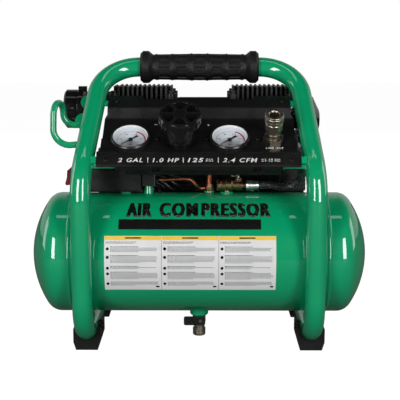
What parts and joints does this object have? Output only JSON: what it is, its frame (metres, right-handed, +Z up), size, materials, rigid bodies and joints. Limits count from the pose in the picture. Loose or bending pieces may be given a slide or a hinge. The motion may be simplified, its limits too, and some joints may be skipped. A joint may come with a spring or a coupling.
{
  "type": "portable air compressor",
  "caption": "Portable roll-cage air compressor with a horizontal tank, twin-cylinder oil-free pump, sloped gauge panel, regulator knob, quick coupler and carry grip.",
  "frame": {"origin": "on the floor under the middle of the cage: bottom centre of the bounding box", "axes": "+X to the right as one faces the panel, along the tank; +Y to the back; +Z up"},
  "size_m": [0.434, 0.3014, 0.3782],
  "materials": {
    "green_paint": "gloss powder coat",
    "black_sheet": "satin powder coat",
    "black_casting": "black-painted die casting",
    "rubber_black": "moulded rubber",
    "plastic_black": "moulded plastic",
    "fastener_black": "black oxide",
    "steel": "machined",
    "piston_alloy": "machined",
    "copper": "drawn copper tube",
    "brass": "turned brass",
    "nickel": "dull nickel plate",
    "dial_white": "printed dial",
    "lens_clear": "clear window",
    "needle_black": "painted pointer",
    "rocker_red": "moulded rocker"
  },
  "bodies": {
    "root": {"front_hoop": "green_paint", "rear_hoop": "green_paint", "tank_shell": "green_paint", "tank_ends": "green_paint", "tank_fittings": "green_paint", "cage_brackets": "green_paint", "cord_hook": "green_paint", "control_panel": "black_sheet", "pump_platform": "black_sheet", "fan_guards": "black_sheet", "crossover_tube": "black_sheet", "motor_housing": "black_casting", "crankcase_left": "black_casting", "crankcase_right": "black_casting", "cylinder_left": "black_casting", "cylinder_right": "black_casting", "head_left": "black_casting", "head_right": "black_casting", "pressure_switch": "black_casting", "regulator_body": "black_casting", "panel_manifold": "black_casting", "rubber_feet": "rubber_black", "grip_sleeve": "rubber_black", "vibration_mounts": "rubber_black", "outlet_hose": "rubber_black", "intake_filter": "plastic_black", "intake_muffler": "plastic_black", "switch_box": "plastic_black", "cord_gland": "plastic_black", "start_capacitor": "plastic_black", "gauge_cases": "plastic_black", "clips_and_screws": "fastener_black", "head_bolts": "fastener_black", "shaft_bearings": "steel", "stator": "steel", "valve_plates": "steel", "hose_ferrules": "piston_alloy", "discharge_tube": "copper", "unloader_tube": "copper", "check_valve": "brass", "outlet_fitting": "brass", "safety_valve": "brass", "coupler_body": "nickel", "drain_valve": "nickel", "gauge_dials": "dial_white", "gauge_lenses": "lens_clear"},
    "rotor": {"motor_rotor": "steel", "eccentrics": "steel", "cooling_fans": "plastic_black"},
    "piston_l": {"piston_left": "piston_alloy"},
    "piston_r": {"piston_right": "piston_alloy"},
    "spindle": {"regulator_spindle": "steel"},
    "knob": {"regulator_knob": "plastic_black"},
    "tank_needle": {"tank_gauge_needle": "needle_black"},
    "outlet_needle": {"outlet_gauge_needle": "needle_black"},
    "sleeve": {"coupler_sleeve": "nickel"},
    "rocker": {"rocker": "rocker_red"},
    "pin": {"safety_pin": "steel"},
    "ring": {"pull_ring": "steel"},
    "lever": {"drain_lever": "plastic_black"}
  },
  "joints": [
    {"name": "shaft_spin", "type": "hinge", "parent": "root", "child": "rotor", "pos_m": [0.0035, 0.03, 0.236], "axis": [1, 0, 0], "continuous": true},
    {"name": "piston_left_stroke", "type": "slide", "parent": "root", "child": "piston_l", "axis": [0, 0, 1], "range_m": [-0.008, 0.008]},
    {"name": "piston_right_stroke", "type": "slide", "parent": "root", "child": "piston_r", "axis": [0, 0, 1], "range_m": [-0.008, 0.008]},
    {"name": "regulator_turn", "type": "hinge", "parent": "root", "child": "spindle", "pos_m": [-0.0225, -0.11453, 0.28705], "axis": [0, -0.5284, 0.849], "range_deg": [-720, 720]},
    {"name": "knob_lock", "type": "slide", "parent": "spindle", "child": "knob", "axis": [0, -0.5284, 0.849], "range_m": [0, 0.003]},
    {"name": "tank_needle_turn", "type": "hinge", "parent": "root", "child": "tank_needle", "pos_m": [-0.0842, -0.10555, 0.27262], "axis": [0, 0.5284, -0.849], "range_deg": [0, 270], "stiffness_Nm_per_rad": 0.00001},
    {"name": "outlet_needle_turn", "type": "hinge", "parent": "root", "child": "outlet_needle", "pos_m": [0.0382, -0.10555, 0.27262], "axis": [0, 0.5284, -0.849], "range_deg": [0, 270], "stiffness_Nm_per_rad": 0.00001},
    {"name": "sleeve_release", "type": "slide", "parent": "root", "child": "sleeve", "axis": [0, -0.5284, 0.849], "range_m": [-0.005, 0], "stiffness_N_per_m": 1500},
    {"name": "rocker_tip", "type": "hinge", "parent": "root", "child": "rocker", "pos_m": [-0.1646, -0.045, 0.2154], "axis": [0, -1, 0], "range_deg": [0, 20]},
    {"name": "safety_pull", "type": "slide", "parent": "root", "child": "pin", "axis": [0, 0, 1], "range_m": [0, 0.002], "stiffness_N_per_m": 1500},
    {"name": "ring_swing", "type": "hinge", "parent": "pin", "child": "ring", "pos_m": [0.0495, -0.047, 0.22], "axis": [0.5, 0, 0.866], "range_deg": [-70, 70]},
    {"name": "drain_turn", "type": "hinge", "parent": "root", "child": "lever", "pos_m": [0.0016, -0.0732, 0.0305], "axis": [0, -1, 0], "range_deg": [0, 90]}
  ]
}
